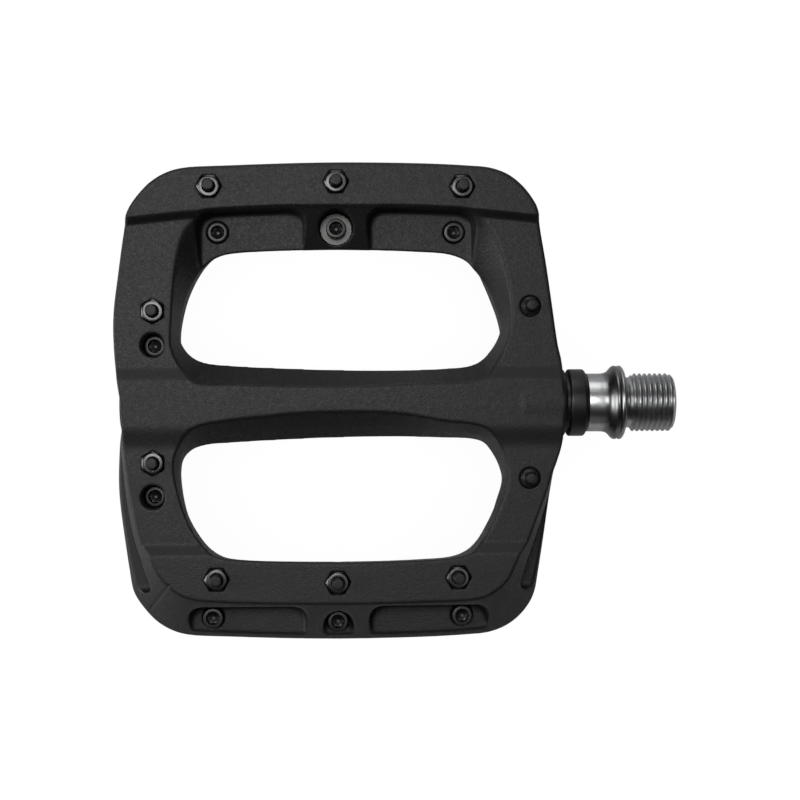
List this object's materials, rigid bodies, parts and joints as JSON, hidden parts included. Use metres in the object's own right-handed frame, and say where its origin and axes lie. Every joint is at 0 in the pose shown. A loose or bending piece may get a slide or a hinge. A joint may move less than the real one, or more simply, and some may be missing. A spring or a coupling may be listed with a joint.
{
  "type": "flat pedal",
  "caption": "Bicycle flat pedal: moulded platform with two windows and clamped traction pins, turning on a flanged spindle with a crank thread.",
  "frame": {"origin": "on the spindle axis, at the crank-side face of the spindle flange, which seats on the crank arm", "axes": "+X along the spindle towards the crank, +Z out of the top tread face, +Y towards the front rail"},
  "size_m": [0.1366, 0.1162, 0.0254],
  "materials": {
    "nylon_black": "fine grained glass-filled nylon, black",
    "bushing_polymer": "self-lubricating polymer, ochre",
    "seal_rubber": "moulded rubber, black",
    "cap_plastic": "smooth moulded plastic, black",
    "bearing_steel": "ground bearing steel",
    "ball_steel": "polished bearing steel",
    "cage_metal": "pressed brass ribbon",
    "washer_steel": "plain zinc-plated steel",
    "pin_steel": "black oxide steel, worn bright at the rims",
    "pin_nut_steel": "dark plated steel",
    "spindle_steel": "turned and nickel plated steel, satin",
    "collar_rubber": "dense black seal ring, slight sheen",
    "nut_steel": "zinc-plated steel"
  },
  "bodies": {
    "spindle": {"spindle": "spindle_steel", "dust_collar": "collar_rubber", "inner_bearing_inner_ring": "bearing_steel", "outer_bearing_inner_ring": "bearing_steel", "spindle_washer": "washer_steel", "lock_nut": "nut_steel"},
    "platform": {"platform": "nylon_black", "bushing": "bushing_polymer", "lip_seal": "seal_rubber", "end_cap": "cap_plastic", "end_cap_oring": "seal_rubber", "inner_bearing_outer_ring": "bearing_steel", "outer_bearing_outer_ring": "bearing_steel", "inner_bearing_shields": "seal_rubber", "outer_bearing_shields": "seal_rubber", "top_front_screws": "pin_steel", "top_front_nuts": "pin_nut_steel", "top_rear_screws": "pin_steel", "top_rear_nuts": "pin_nut_steel", "top_side_screws": "pin_steel", "top_side_nuts": "pin_nut_steel", "top_studs": "pin_steel", "bottom_rear_screws": "pin_steel", "bottom_rear_nuts": "pin_nut_steel", "bottom_front_screws": "pin_steel", "bottom_front_nuts": "pin_nut_steel", "bottom_side_screws": "pin_steel", "bottom_side_nuts": "pin_nut_steel", "bottom_studs": "pin_steel", "pin_washers": "washer_steel"},
    "bearing_balls": {"inner_bearing_balls": "ball_steel", "outer_bearing_balls": "ball_steel", "inner_bearing_cage": "cage_metal", "outer_bearing_cage": "cage_metal"}
  },
  "joints": [
    {"name": "platform_spin", "type": "hinge", "parent": "spindle", "child": "platform", "pos_m": [0, 0, 0], "axis": [1, 0, 0], "continuous": true},
    {"name": "ball_orbit", "type": "hinge", "parent": "spindle", "child": "bearing_balls", "pos_m": [-0.1, 0, 0], "axis": [1, 0, 0], "continuous": true}
  ],
  "couplings": [
    {"joint": "ball_orbit", "follows": "platform_spin", "ratio": 0.625}
  ]
}
